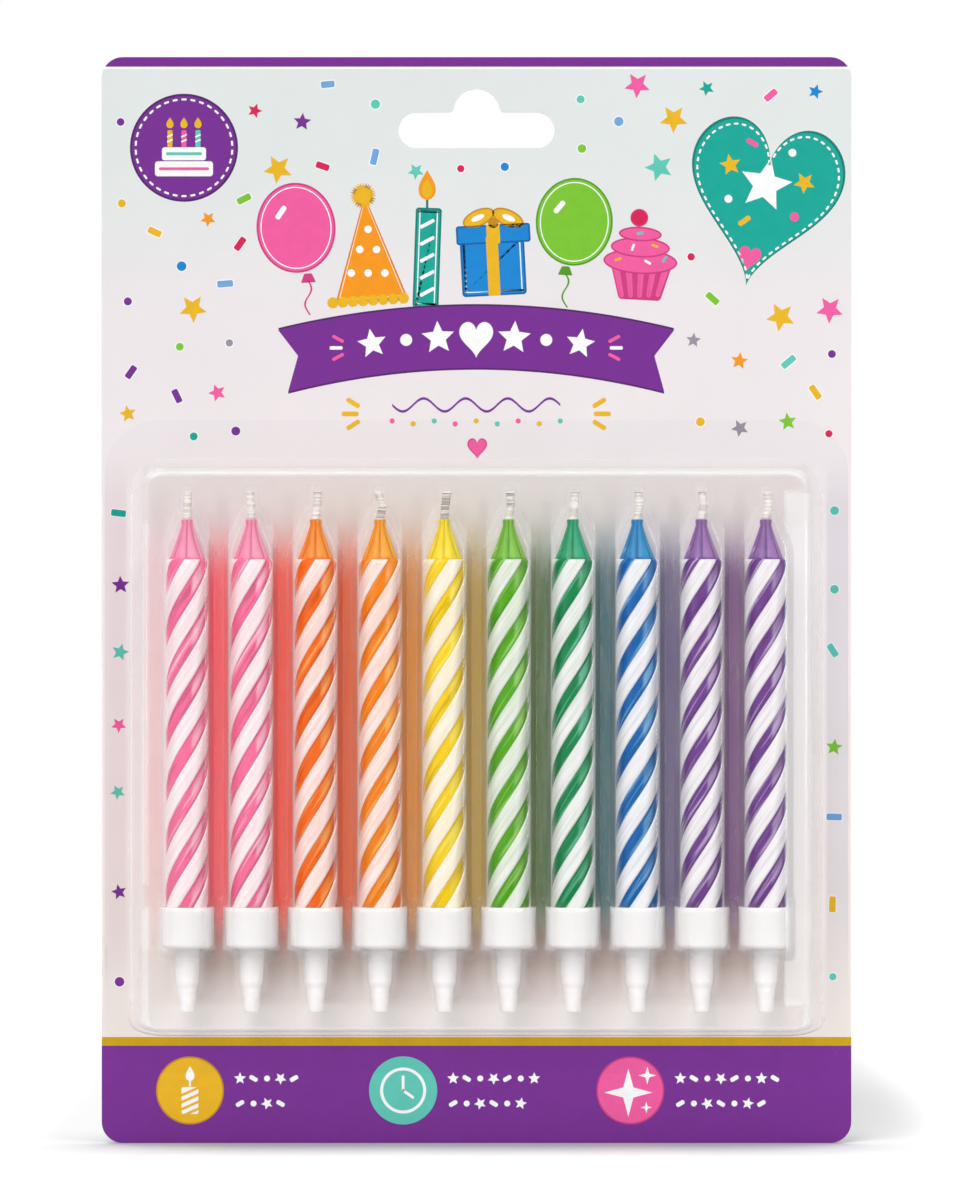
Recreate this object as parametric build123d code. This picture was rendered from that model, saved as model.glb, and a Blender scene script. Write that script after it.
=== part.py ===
from build123d import *
from math import cos, radians, sin, tan
import os

# Ten spiral birthday candles in push-in holders, carded under a clear blister.
# Millimetres. The card stands in the XZ plane and its printed face looks to -Y.
# The origin is the centre of the hanging arch, on the back of the card.

# Card
card_width = 107.0
card_height = 155.0
card_thickness = 0.5
card_corner_radius = 3.0

# Hanging slot: a long slot with an arch in the middle of its top edge
slot_below_card_top = 7.9
slot_width = 22.3
slot_height = 5.1
arch_radius = 3.35
arch_foot_radius = 0.8

# Row of candle sets, each a candle in its holder, lying in the blister
set_count = 10
set_pitch = 9.13
set_card_gap = 0.2
spike_tip_above_tray_bottom = 2.7

# Holder: a cup on a tapered spike in two stages, moulded in one
holder_radius = 3.85
holder_cup_height = 5.9
holder_floor = 1.3
spike_length = 9.3
spike_root_radius = 1.8
spike_shank_radius = 1.6
spike_shank_length = 4.8
spike_step_length = 0.8
spike_point_radius = 1.3
spike_tip_radius = 1.07
spike_sides = 12

# Candle core: coloured wax with a pleated, pinched tip
candle_length = 60.0
core_radius = 2.8
cone_base_radius = 2.55
cone_height = 6.1
tip_radius = 0.95
pleat_count = 8
pleat_depth_share = 0.1
butt_clearance = 0.05

# Strands: white wax, wound round the core in flats like a ribbon round a mandrel
strand_count = 4
strand_spacing = 7.08
strand_height = 4.25
strand_bevel = 0.35
strand_radius = 3.2
strand_seat = 0.03
strand_grip = 1.2
strand_fit = 0.05
flats_per_turn = 10
strand_lead_angle = 15.0

# Wick: a braided cotton cord with eight sides, cast into the core
wick_width = 1.15
wick_sides = 8
wick_fit = 0.01
wick_above_butt = 1.0
wick_stub = 4.0
wick_bend = 1.9
wick_lean_shares = [
    (0.0, 0.02),
    (-0.02, -0.05),
    (0.05, 0.07),
    (0.09, -0.08),
    (0.03, 0.11),
    (0.08, 0.05),
    (0.05, 0.08),
    (0.08, 0.04),
    (0.07, 0.03),
    (0.09, 0.06),
]

# Blister: thermoformed clear sheet with a sealing flange and a shallow tray
blister_wall = 0.3
seal_gap = 0.05
flange_width = 106.1
flange_above_tray = 5.5
flange_below_tray = 5.6
flange_corner_radius = 7.7
tray_width = 98.6
tray_height = 82.0
tray_above_card_bottom = 15.6
tray_corner_radius = 4.5
tray_depth = 5.5
tray_draft = 19.0

# Pockets: raised shapes on the tray that follow each candle set
pocket_draft = 20.0
pocket_top_room = 0.35
pocket_side_room = 0.4
candle_lift = 1.2
shoulder_room = 0.5
small_pocket_depth = 6.4
wick_pocket_half_width = 1.1
wick_pocket_room = 0.9
spike_pocket_end_room = 1.0

overrun = 2.0
flatness = 1e-6

# Places that follow from the sizes above
front = Plane.XZ
card_top = slot_below_card_top
card_bottom = card_top - card_height
card_middle = (card_top + card_bottom) / 2
tray_bottom = card_bottom + tray_above_card_bottom
tray_middle = tray_bottom + tray_height / 2
flange_bottom = tray_bottom - flange_below_tray
flange_height = flange_below_tray + tray_height + flange_above_tray
flange_middle = flange_bottom + flange_height / 2
seal_depth = card_thickness + seal_gap
axis_depth = card_thickness + set_card_gap + holder_radius
rim_height = tray_bottom + spike_tip_above_tray_bottom + spike_length + holder_cup_height

# Heights inside a set, measured from the holder's rim
cup_bottom = -holder_cup_height
cup_floor = cup_bottom + holder_floor
spike_tip = cup_bottom - spike_length
shank_end = cup_bottom - spike_shank_length
candle_butt = cup_floor + butt_clearance
candle_tip = candle_butt + candle_length
shoulder = candle_tip - cone_height
wick_butt = candle_butt + wick_above_butt
wick_top = candle_tip + wick_stub
strand_end = -strand_grip


def polygon(points):
    return make_face(Polyline(*points, close=True))


# Corners of an upright prism's cross-section, at the given height
def ring(radii, height, x=0):
    step = radians(360 / len(radii))
    return [(x + r * cos(step * k), r * sin(step * k), height) for k, r in enumerate(radii)]


def is_flat(corners):
    first, second, third, fourth = [Vector(*corner) for corner in corners]
    normal = (second - first).cross(third - first)
    return abs(normal.dot(fourth - first)) < flatness * normal.length


# A closed solid over rings of points, flat at both ends. A side that isn't flat
# is split along its diagonal.
def skin(rings):
    outlines = [rings[0], rings[-1]]
    for lower, upper in zip(rings, rings[1:]):
        for k in range(len(lower)):
            after = (k + 1) % len(lower)
            corners = [lower[k], lower[after], upper[after], upper[k]]
            if is_flat(corners):
                outlines.append(corners)
            else:
                outlines.append([corners[0], corners[1], corners[2]])
                outlines.append([corners[0], corners[2], corners[3]])
    return Solid(Shell([Face(Wire.make_polygon(outline, close=True)) for outline in outlines]))


def make_card():
    sheet = Pos(0, card_middle) * RectangleRounded(card_width, card_height, card_corner_radius)
    window = Pos(0, -slot_height / 2) * SlotOverall(slot_width, slot_height) + Circle(arch_radius)
    arch_feet = window.vertices().group_by(Axis.Y)[-1].sort_by(Axis.X)[1:3]
    window = fillet(arch_feet, arch_foot_radius)
    return extrude(front * (sheet - window), card_thickness)


def make_holder():
    above = (Align.CENTER, Align.CENTER, Align.MIN)
    cup = Pos(0, 0, cup_bottom) * Cylinder(holder_radius, holder_cup_height, align=above)
    bore = Pos(0, 0, cup_floor) * Cylinder(strand_radius + strand_fit, holder_cup_height, align=above)
    spike = skin(
        [
            ring([spike_tip_radius] * spike_sides, spike_tip),
            ring([spike_point_radius] * spike_sides, shank_end - spike_step_length),
            ring([spike_shank_radius] * spike_sides, shank_end),
            ring([spike_root_radius] * spike_sides, cup_bottom),
        ]
    )
    return cup - bore + spike


def pleats(radius, height):
    return ring([radius, radius * (1 - pleat_depth_share)] * pleat_count, height)


def wick_ring(height, x=0, fit=0):
    radius = (wick_width / 2 + fit) / cos(radians(180 / wick_sides))
    return ring([radius] * wick_sides, height, x)


def make_core():
    length = shoulder - candle_butt
    body = Cylinder(core_radius, length, align=(Align.CENTER, Align.CENTER, Align.MIN))
    cone = skin([pleats(cone_base_radius, shoulder), pleats(tip_radius, candle_tip)])
    bore = skin([wick_ring(wick_butt, fit=wick_fit), wick_ring(candle_tip + overrun, fit=wick_fit)])
    return Pos(0, 0, candle_butt) * body + cone - bore


# One strand is a ribbon with sloping edges, bent round the core flat by flat and
# cut square at the shoulder and inside the cup.
def make_strands():
    lead = strand_count * strand_spacing
    turn_step = 360 / flats_per_turn
    rise = lead / flats_per_turn
    seat_radius = (core_radius + strand_seat) / cos(radians(turn_step / 2))
    first_height = strand_end - strand_height - rise / 2
    flats = int((shoulder - first_height) / rise) + 1
    turns_to_shoulder = (shoulder - first_height - strand_height / 2) / lead
    first_angle = strand_lead_angle - 90 - 360 * turns_to_shoulder
    rings = []
    for k in range(flats + 1):
        angle = radians(first_angle + turn_step * k)
        low = first_height + rise * k
        section = [
            (seat_radius, low),
            (seat_radius, low + strand_height),
            (strand_radius, low + strand_height - strand_bevel),
            (strand_radius, low + strand_bevel),
        ]
        rings.append([(r * cos(angle), r * sin(angle), z) for r, z in section])
    length = shoulder - strand_end
    span = Cylinder(strand_radius + overrun, length, align=(Align.CENTER, Align.CENTER, Align.MIN))
    strand = skin(rings) & Pos(0, 0, strand_end) * span
    return [Rot(0, 0, 360 / strand_count * k) * strand for k in range(strand_count)]


def make_wick(bend_share, top_share):
    return skin(
        [
            wick_ring(wick_butt),
            wick_ring(candle_tip),
            wick_ring(candle_tip + wick_bend, bend_share * wick_stub),
            wick_ring(wick_top, top_share * wick_stub),
        ]
    )


# Formed shapes beside one set's axis: the depth of each, and the right half of its
# outline on the tray's face as half width, height and which end it closes, if any.
# Growing them by the wall gives the outside of the sheet.
def set_pockets(grow):
    over_axis = axis_depth - seal_depth + pocket_top_room
    cup_depth = over_axis + holder_radius
    cup_run = (cup_depth - tray_depth) * tan(radians(pocket_draft))
    body_half_width = strand_radius + pocket_side_room + grow
    shoulder_top = shoulder + candle_lift + shoulder_room
    cup = [
        (holder_radius + grow, cup_bottom - pocket_side_room - cup_run - grow, -1),
        (holder_radius + grow, pocket_side_room + cup_run + grow, 1),
    ]
    body = [
        (body_half_width, cup_bottom, -1),
        (body_half_width, shoulder_top, 0),
        (tip_radius + pocket_side_room + grow, shoulder_top + cone_height + grow, 1),
    ]
    spike = [
        (spike_tip_radius + pocket_side_room + grow, spike_tip - spike_pocket_end_room - grow, -1),
        (spike_root_radius + pocket_side_room + grow, cup_bottom, 0),
    ]
    wick = [
        (wick_pocket_half_width + grow, shoulder, 0),
        (wick_pocket_half_width + grow, wick_top + wick_pocket_room + grow, 1),
    ]
    return [
        (cup_depth, cup),
        (over_axis + strand_radius, body),
        (small_pocket_depth, spike),
        (small_pocket_depth, wick),
    ]


def make_pocket(depth, half_outline, grow):
    run = (depth - tray_depth) * tan(radians(pocket_draft))
    rings = []
    for inset, level in ((0, tray_depth), (run, depth)):
        right = [(half_width - inset, height - end * inset) for half_width, height, end in half_outline]
        left = [(-x, z) for x, z in reversed(right)]
        rings.append([(x, -(seal_depth + level + grow), z) for x, z in right + left])
    return skin(rings)


def set_x(k):
    return (k - (set_count - 1) / 2) * set_pitch


def blister_form(grow):
    face = RectangleRounded(tray_width + 2 * grow, tray_height + 2 * grow, tray_corner_radius + grow)
    tray_face = front.offset(seal_depth) * Pos(0, tray_middle) * face
    tray = extrude(tray_face, tray_depth + grow, taper=tray_draft)
    pockets = [make_pocket(depth, outline, grow) for depth, outline in set_pockets(grow)]
    return tray + [Pos(set_x(k), 0, rim_height) * shape for k in range(set_count) for shape in pockets]


def make_blister():
    flange_face = RectangleRounded(flange_width, flange_height, flange_corner_radius)
    flange = extrude(front.offset(seal_depth) * Pos(0, flange_middle) * flange_face, blister_wall)
    return flange + blister_form(blister_wall) - blister_form(0)


def save(name, shape):
    export_step(shape, f"parts/{name}.step")


os.makedirs("parts", exist_ok=True)
save("card", make_card())
save("blister", make_blister())
holder = make_holder()
core = make_core()
strands = make_strands()
for k in range(set_count):
    place = Pos(set_x(k), -axis_depth, rim_height)
    number = f"{k + 1:02d}"
    save(f"holder_{number}", place * holder)
    save(f"candle_core_{number}", place * core)
    save(f"candle_stripes_{number}", Compound([place * strand for strand in strands]))
    save(f"wick_{number}", place * make_wick(*wick_lean_shares[k % len(wick_lean_shares)]))
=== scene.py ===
import bpy
import bmesh
import random
from math import cos, degrees, hypot, pi, radians, sin, tan
from mathutils import Matrix, Vector


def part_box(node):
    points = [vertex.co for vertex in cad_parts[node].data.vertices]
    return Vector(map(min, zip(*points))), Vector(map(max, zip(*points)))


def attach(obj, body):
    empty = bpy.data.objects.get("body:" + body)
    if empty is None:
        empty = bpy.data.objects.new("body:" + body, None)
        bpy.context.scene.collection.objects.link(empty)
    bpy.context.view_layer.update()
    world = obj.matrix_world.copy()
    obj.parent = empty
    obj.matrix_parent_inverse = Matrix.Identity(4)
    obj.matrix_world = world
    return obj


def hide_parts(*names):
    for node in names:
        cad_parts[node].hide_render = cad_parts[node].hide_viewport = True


# Carded spiral candles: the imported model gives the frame, and every shown piece is dressed here.
# Lengths in the dictionaries are millimetres, heights inside a set are measured from the holder's rim.
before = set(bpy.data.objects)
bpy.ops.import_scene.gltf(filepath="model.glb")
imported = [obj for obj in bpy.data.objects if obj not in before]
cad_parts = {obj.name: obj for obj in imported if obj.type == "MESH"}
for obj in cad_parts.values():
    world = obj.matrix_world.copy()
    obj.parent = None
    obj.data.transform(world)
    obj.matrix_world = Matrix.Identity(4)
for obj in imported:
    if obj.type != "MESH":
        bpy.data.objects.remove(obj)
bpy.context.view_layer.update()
scene = bpy.context.scene
scene.view_settings.view_transform = "Standard"
mm = 0.001


cameraSet = {"distance": 850, "aimX": 0.5, "aimZ": -69.6, "heightSeen": 171.4, "sensor": 36, "clip": (0.01, 20)}


def makeCamera():
    data = bpy.data.cameras.new("photoCamera")
    data.sensor_width = cameraSet["sensor"]
    data.lens = cameraSet["distance"] * cameraSet["sensor"] / cameraSet["heightSeen"]
    data.clip_start, data.clip_end = cameraSet["clip"]
    camera = bpy.data.objects.new("photoCamera", data)
    camera.location = Vector((cameraSet["aimX"], -cameraSet["distance"], cameraSet["aimZ"])) * mm
    camera.rotation_euler = (pi / 2, 0, 0)
    scene.collection.objects.link(camera)
    scene.camera = camera


makeCamera()
print("camera placed")


# Nodes are added by type, with their sockets and settings by name
def addNode(made, kind, sockets=None, **settings):
    node = made.node_tree.nodes.new(kind)
    for key, value in settings.items():
        setattr(node, key, value)
    for key, value in (sockets or {}).items():
        node.inputs[key].default_value = value
    return node


def join(made, source, target):
    made.node_tree.links.new(source, target)


# A socket takes up another node's output, or a number or colour of its own
def feed(made, source, target):
    if isinstance(source, bpy.types.NodeSocket):
        join(made, source, target)
    else:
        target.default_value = source


def inks(red, green, blue):
    return tuple((part / 255) ** 2.2 for part in (red, green, blue)) + (1,)


def newMaterial(name, colour, roughness, sockets=None):
    made = bpy.data.materials.new(name)
    made.use_nodes = True
    shader = made.node_tree.nodes["Principled BSDF"]
    shader.inputs["Base Color"].default_value = colour
    shader.inputs["Roughness"].default_value = roughness
    for key, value in (sockets or {}).items():
        shader.inputs[key].default_value = value
    return made, shader


def stretched(made, vector, scale, location=(0, 0, 0)):
    mapping = addNode(made, "ShaderNodeMapping", {"Scale": scale, "Location": location})
    join(made, vector, mapping.inputs["Vector"])
    return mapping.outputs["Vector"]


def objectPlace(made, scale=(1, 1, 1), location=(0, 0, 0)):
    place = addNode(made, "ShaderNodeTexCoord")
    return stretched(made, place.outputs["Object"], scale, location)


def axes(made, vector):
    split = addNode(made, "ShaderNodeSeparateXYZ")
    join(made, vector, split.inputs["Vector"])
    return [split.outputs[axis] for axis in "XYZ"]


def noise(made, vector, scale, detail=4, roughness=0.55, distortion=0):
    sockets = {"Scale": scale, "Detail": detail, "Roughness": roughness, "Distortion": distortion}
    node = addNode(made, "ShaderNodeTexNoise", sockets)
    join(made, vector, node.inputs["Vector"])
    return node.outputs["Fac"]


def ramp(made, factor, stops):
    node = addNode(made, "ShaderNodeValToRGB")
    elements = node.color_ramp.elements
    while len(elements) < len(stops):
        elements.new(0.5)
    for element, (place, colour) in zip(elements, stops):
        element.position = place
        element.color = colour
    join(made, factor, node.inputs["Fac"])
    return node.outputs["Color"]


# Fine relief of each finish: the grain's scale and detail, its strength and its height in millimetres
grainSet = {
    "holder": (2600, 4, 0.12, 0.04),
    "wax": (2400, 4, 0.5, 0.08),
    "whiteWax": (2000, 4, 0.4, 0.06),
    "cotton": (6000, 2, 0.15, 0.04),
    "card": (1500, 4, 0.1, 0.03),
    "ink": (1500, 4, 0.08, 0.02),
    "sheet": (90, 3, 0.03, 0.2),
}


def grain(made, shader, vector, finish):
    scale, detail, strength, height = grainSet[finish]
    node = addNode(made, "ShaderNodeBump", {"Strength": strength, "Distance": height * mm})
    join(made, noise(made, vector, scale, detail), node.inputs["Height"])
    join(made, node.outputs["Normal"], shader.inputs["Normal"])


# A smooth step: from start to end while the value runs from low to high
def spread(made, value, low, high, start=0.0, end=1.0):
    sockets = {"From Min": low, "From Max": high, "To Min": start, "To Max": end}
    node = addNode(made, "ShaderNodeMapRange", sockets, interpolation_type="SMOOTHSTEP")
    join(made, value, node.inputs["Value"])
    return node.outputs["Result"]


def maths(made, operation, *values):
    node = addNode(made, "ShaderNodeMath", operation=operation)
    for value, socket in zip(values, node.inputs):
        feed(made, value, socket)
    return node.outputs[0]


def times(made, first, *others):
    for other in others:
        first = maths(made, "MULTIPLY", first, other)
    return first


def blend(made, factor, first, second, kind="MIX"):
    node = addNode(made, "ShaderNodeMix", data_type="RGBA", blend_type=kind)
    for source, name in ((factor, "Factor"), (first, "A"), (second, "B")):
        feed(made, source, node.inputs[name])
    return node.outputs["Result"]


def tint(colour, share):
    return tuple(min(1, part * share) for part in colour[:3]) + (1,)


def lighter(colour):
    return tuple(part ** 0.55 for part in colour[:3]) + (1,)


def fade(colour, other, share):
    return tuple(a + (b - a) * share for a, b in zip(colour[:3], other[:3])) + (1,)


lightSet = {
    "world": 0.37,
    "key": {"from": (-0.42, -1.0, 0.9), "strength": 1.78, "spread": 44},
    "fill": {"at": (640, -640, 60), "size": (130, 520), "watts": 1.2},
    "left": {"at": (-640, -640, -20), "size": (220, 640), "watts": 2.6, "glossOnly": True},
    "right": {"at": (640, -640, -20), "size": (260, 640), "watts": 5.2, "glossOnly": True},
    "top": {"at": (-60, -460, 520), "size": (700, 160), "watts": 2.4, "glossOnly": True},
}
# The floor glows a little to the camera, more so far across and far behind or before the object
floorSet = {
    "halfSize": 6000,
    "below": 0.02,
    "colour": (0.86, 0.86, 0.87, 1),
    "glow": 0.38,
    "glowFar": 0.7,
    "far": [(57, 77), (120, 300)],
    # painted contact shadow: floor colours by ambient occlusion, darkest next to the object
    "shade": [(0.5, (0.3, 0.29, 0.3, 1)), (0.72, (0.62, 0.62, 0.63, 1)), (0.97, (0.86, 0.86, 0.87, 1))],
    "reach": 24,
}
white = (1, 1, 1, 1)


def makeWorld():
    world = bpy.data.worlds.new("studioWorld")
    scene.world = world
    world.use_nodes = True
    nodes = world.node_tree.nodes
    background = nodes["Background"]
    background.inputs["Color"].default_value = white
    path = nodes.new("ShaderNodeLightPath")
    level = nodes.new("ShaderNodeMix")
    level.data_type = "FLOAT"
    level.inputs["A"].default_value = lightSet["world"]
    level.inputs["B"].default_value = 1
    links = world.node_tree.links
    links.new(path.outputs["Is Camera Ray"], level.inputs["Factor"])
    links.new(level.outputs["Result"], background.inputs["Strength"])


def makeLamp(name, values):
    data = bpy.data.lights.new(name, "AREA")
    data.shape = "RECTANGLE"
    data.size, data.size_y = [side * mm for side in values["size"]]
    data.energy = values["watts"]
    lamp = bpy.data.objects.new(name, data)
    lamp.location = Vector(values["at"]) * mm
    aim = Vector((0, 0, cameraSet["aimZ"])) * mm - lamp.location
    lamp.rotation_euler = aim.to_track_quat("-Z", "Y").to_euler()
    lamp.visible_diffuse = not values.get("glossOnly", False)
    scene.collection.objects.link(lamp)


def makeKey(values):
    data = bpy.data.lights.new("keyLamp", "SUN")
    data.energy = values["strength"]
    data.angle = radians(values["spread"])
    lamp = bpy.data.objects.new("keyLamp", data)
    lamp.rotation_euler = Vector(values["from"]).to_track_quat("Z", "Y").to_euler()
    scene.collection.objects.link(lamp)


def makeFloor():
    bm = bmesh.new()
    bmesh.ops.create_grid(bm, x_segments=1, y_segments=1, size=floorSet["halfSize"] * mm)
    bmesh.ops.translate(bm, verts=bm.verts, vec=(0, 0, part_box("card")[0].z - floorSet["below"] * mm))
    mesh = bpy.data.meshes.new("floor")
    bm.to_mesh(mesh)
    bm.free()
    floor = bpy.data.objects.new("floor", mesh)
    scene.collection.objects.link(floor)
    made, shader = newMaterial("paleFloor", floorSet["colour"], 0.7)
    away = []
    for axis, reach in zip(axes(made, objectPlace(made)), floorSet["far"]):
        away.append(spread(made, maths(made, "ABSOLUTE", axis), *[part * mm for part in reach]))
    level = spread(made, maths(made, "MAXIMUM", *away), 0, 1, floorSet["glow"], floorSet["glowFar"])
    path = addNode(made, "ShaderNodeLightPath")
    seen = maths(made, "MAXIMUM", path.outputs["Is Camera Ray"], path.outputs["Is Glossy Ray"])
    # painted contact shadow: the floor's colour darkens close to the object, as it does where an object stands on it
    near = addNode(made, "ShaderNodeAmbientOcclusion", {"Distance": floorSet["reach"] * mm}).outputs["AO"]
    join(made, ramp(made, near, floorSet["shade"]), shader.inputs["Base Color"])
    glow = addNode(made, "ShaderNodeEmission")
    join(made, near, glow.inputs["Color"])
    join(made, times(made, level, seen), glow.inputs["Strength"])
    both = addNode(made, "ShaderNodeAddShader")
    join(made, shader.outputs["BSDF"], both.inputs[0])
    join(made, glow.outputs["Emission"], both.inputs[1])
    join(made, both.outputs["Shader"], made.node_tree.nodes["Material Output"].inputs["Surface"])
    mesh.materials.append(made)


makeWorld()
makeKey(lightSet["key"])
for lampName in ("fill", "left", "right", "top"):
    makeLamp(lampName + "Lamp", lightSet[lampName])
makeFloor()
print("light and floor set")


weldReach = 0.5e-6


# A mesh becomes a piece of its body, with its place in the mesh and its object at the origin
def finishPiece(name, bm, made, body, replaced=(), smooth=True, solid=True):
    if solid:
        bmesh.ops.remove_doubles(bm, verts=bm.verts, dist=weldReach)
        bmesh.ops.recalc_face_normals(bm, faces=bm.faces)
    mesh = bpy.data.meshes.new(name)
    for face in bm.faces:
        face.smooth = smooth
    bm.to_mesh(mesh)
    bm.free()
    piece = bpy.data.objects.new(name, mesh)
    scene.collection.objects.link(piece)
    mesh.materials.append(made)
    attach(piece, body)
    if replaced:
        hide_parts(*replaced)
    return piece


def ofKind(items, kind):
    return [item for item in items if isinstance(item, kind)]


def turnVerts(bm, verts, angle, axis="Z"):
    bmesh.ops.rotate(bm, verts=verts, cent=(0, 0, 0), matrix=Matrix.Rotation(angle, 3, axis))


# Cuts the whole mesh by a plane, and gives the edges of the cut
def cutAcross(bm, place, way, clear=False):
    geom = bm.verts[:] + bm.edges[:] + bm.faces[:]
    cut = bmesh.ops.bisect_plane(bm, geom=geom, dist=1e-8, plane_co=place, plane_no=way, clear_outer=clear)
    return ofKind(cut["geom_cut"], bmesh.types.BMEdge)


# The last face of a rod grows on by one ring
def growFace(bm, face):
    grown = bmesh.ops.extrude_face_region(bm, geom=[face])["geom"]
    return ofKind(grown, bmesh.types.BMFace)[0]


def chain(bm, points, closed=False):
    verts = [bm.verts.new(point) for point in points]
    edges = [bm.edges.new(pair) for pair in zip(verts, verts[1:])]
    if closed:
        edges.append(bm.edges.new((verts[-1], verts[0])))
    return verts, edges


# A profile of radii and heights is spun all the way round
def lathe(bm, profile, steps):
    verts, edges = chain(bm, [(radius * mm, 0, height * mm) for radius, height in profile])
    bmesh.ops.spin(bm, geom=verts + edges, cent=(0, 0, 0), axis=(0, 0, 1), angle=2 * pi, steps=steps, use_merge=True)
    bmesh.ops.remove_doubles(bm, verts=bm.verts, dist=weldReach)


# Rings of edges at the given radii and heights get a small radius
def easeRings(bm, places, offset, segments=3, near=0.01):
    found = []
    for edge in bm.edges:
        ends = [(hypot(v.co.x, v.co.y) / mm, v.co.z / mm) for v in edge.verts]
        for radius, height in places:
            if all(abs(r - radius) < near and abs(z - height) < near for r, z in ends):
                found.append(edge)
    bmesh.ops.bevel(bm, geom=found, offset=offset * mm, segments=segments, profile=0.5, affect="EDGES", material=-1)


setRow = {"count": 10, "pitch": 9.13, "axisY": -4.55, "rimZ": -113.15}
numbers = [f"{k + 1:02d}" for k in range(setRow["count"])]


def setX(k):
    return (k - (setRow["count"] - 1) / 2) * setRow["pitch"]


def setPlace(k):
    return Vector((setX(k), setRow["axisY"], setRow["rimZ"])) * mm


# A piece made about its own axis is moved to its set, and takes the place of the node of that set
def finishInSet(k, bm, made, body, name, node):
    bmesh.ops.translate(bm, verts=bm.verts, vec=setPlace(k))
    finishPiece(name + "_" + numbers[k], bm, made, body, [node + "_" + numbers[k]])


holderForm = {
    "profile": [
        (0, -14.95), (1.12, -14.95), (1.3, -11.55), (1.58, -10.75), (1.8, -5.9), (3.2, -5.9), (3.62, -5.5),
        (3.7, -5.0), (3.8, -0.9), (3.85, -0.75), (3.85, 0), (3.3, 0), (3.26, -4.6), (0, -4.6),
    ],
    "eased": [(3.2, -5.9), (3.62, -5.5), (1.12, -14.95), (3.85, 0), (3.3, 0), (1.58, -10.75), (1.3, -11.55)],
    "radius": 0.16,
    "steps": 72,
}


def holderMaterial():
    sockets = {"Subsurface Weight": 0.35, "Subsurface Radius": (0.9, 0.85, 0.8), "Subsurface Scale": 0.0012}
    made, shader = newMaterial("mouldedHolder", inks(255, 251, 247), 0.34, sockets)
    place = objectPlace(made)
    cloud = noise(made, place, 420, 3)
    tone = ramp(made, cloud, [(0.35, inks(254, 249, 245)), (0.65, inks(255, 253, 250))])
    join(made, tone, shader.inputs["Base Color"])
    grain(made, shader, place, "holder")
    return made


def makeHolders():
    made = holderMaterial()
    for k in range(setRow["count"]):
        bm = bmesh.new()
        lathe(bm, holderForm["profile"], holderForm["steps"])
        easeRings(bm, holderForm["eased"], holderForm["radius"])
        finishInSet(k, bm, made, "blister", "moulded_holder", "holder")


makeHolders()
print("holders made")

candleForm = {
    "butt": -4.55,
    "shoulder": 49.35,
    "tip": 55.0,
    "coreRadius": 2.98,
    "coneRadius": 2.55,
    "tipRadius": 0.8,
    "collarRadius": 0.88,
    "collarHeight": 0.8,
    "pleats": 7,
    "pleatDepth": 0.24,
    "pleatStart": 0.35,
    "pleatPower": 0.6,
    "belly": 0.06,
    "steps": 72,
    "coneRows": 10,
    "easeRows": 6,
    "easeHeight": 0.8,
    "easeDepth": 0.42,
}
strandForm = {
    "count": 4,
    "height": 4.0,
    "start": -1.2,
    "spare": 0.5,
    "windings": [
        (7.34, 19), (7.41, 23), (7.22, 25), (7.14, 1), (6.91, 39),
        (6.95, 16), (6.97, 13), (6.89, 18), (6.98, 20), (6.9, 19),
    ],
    "section": [(2.9, 0), (3.02, 0.03), (3.1, 0.12), (3.15, 0.3), (3.185, 0.7), (3.2, 1.4), (3.2, 2.0)],
    "stepsPerTurn": 60,
}
waxColours = {
    "pink": inks(252, 116, 160),
    "orange": inks(249, 108, 0),
    "amber": inks(248, 133, 0),
    "yellow": inks(252, 211, 0),
    "lime": inks(86, 168, 20),
    "green": inks(0, 134, 76),
    "blue": inks(0, 101, 174),
    "purple": inks(113, 66, 141),
}
# how far each candle's white takes up its neighbouring colour
whiteTints = [0.17, 0.17, 0.27, 0.3, 0.27, 0.26, 0.15, 0.12, 0.13, 0.12]
waxRow = ["pink", "pink", "orange", "amber", "yellow", "lime", "green", "blue", "purple", "purple"]
# how much white the pale colour takes up, in the drawn streaks and in the painted highlight down the valleys
paleShares = {
    "pink": 0.3, "orange": 0.1, "amber": 0.1, "yellow": 0.12, "lime": 0.14, "green": 0.16, "blue": 0.2, "purple": 0.3,
}
# Places are millimetres from the candle's axis, or above and below its shoulder
coreLook = {
    "sockets": {
        "Subsurface Weight": 0.25,
        "Subsurface Radius": (1.0, 0.9, 0.8),
        "Subsurface Scale": 0.0009,
        "Coat Weight": 0.1,
        "Coat Roughness": 0.2,
        "Specular IOR Level": 0.13,
    },
    "darkStreaks": 0.72,
    "bodyEnd": (0.3, -0.6),
    # painted highlight down the valleys, on the right of the axis
    "highlightPatches": (0.4, 0.58, 0.35, 0.8),
    "highlightValley": (0.5, 0.85),
    "paintedLightSide": [(0.5, 1.1), (2.5, 1.9)],
    "coneFoot": 0.4,
    # painted highlight on the cone's right side
    "coneHighlightSide": (-0.2, 1.3),
    "coneHighlightShares": (0.5, 0.9),
    "coneHighlightPale": 0.06,
    # painted shade down the cone's folds
    "foldShadeEdge": (0.8, 0.98, 0, 0.6),
    # painted shade along the valleys' edges, beside the strands
    "strandShadeEdge": (0.5, 0.3, 0, 0.4),
    "shade": 0.6,
}
strandLook = {
    "sockets": {"Subsurface Weight": 0.2, "Subsurface Radius": (1.0, 0.95, 0.9), "Subsurface Scale": 0.0006},
    "white": inks(252, 249, 246),
    "darkStreaks": 0.13,
    "paleStreaks": 0.45,
    "edge": (-0.3, 0.25, 0, 0.2),
    "edgeShare": 0.5,
}
streakSet = {"drawn": 0.06, "scale": 1300, "detail": 4, "roughness": 0.6, "distortion": 0.3}


# A candle's strands: the rise of one turn, and the angle they would have at the foot of the set
def winding(k):
    spacing, angle = strandForm["windings"][k]
    lead = strandForm["count"] * spacing
    return lead, radians(angle - 90) - 2 * pi * candleForm["shoulder"] / lead


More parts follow.
